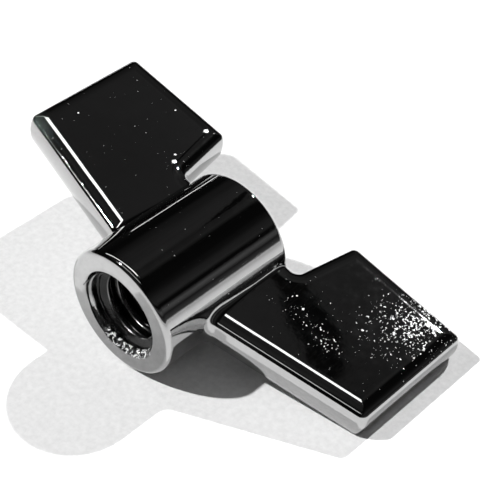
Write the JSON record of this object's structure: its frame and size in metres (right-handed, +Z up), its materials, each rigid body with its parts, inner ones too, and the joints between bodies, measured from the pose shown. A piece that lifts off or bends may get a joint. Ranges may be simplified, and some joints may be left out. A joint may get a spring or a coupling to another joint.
{
  "type": "wing nut",
  "caption": "Chrome-plated wing nut with a cylindrical threaded hub and two flat swept wings for tightening by hand.",
  "frame": {"origin": "on the surface the nut lies on, straight below the thread axis, halfway along the nut's length", "axes": "Y is the thread axis: -Y points out of the clamping face and +Y towards the ends of the wings. +Z is up with the nut lying on its side as it comes to rest, rolled about its axis until the wing on the +X side touches the surface"},
  "size_m": [0.0446, 0.0228, 0.013],
  "materials": {
    "chrome_plate": "bright chrome plating over a die casting, with faint waviness, hairline scratches and dust",
    "bush_steel": "machined steel thread, lightly oiled, darker in the thread roots"
  },
  "bodies": {
    "root": {"wing_casting": "chrome_plate", "threaded_insert": "bush_steel"}
  },
  "joints": []
}
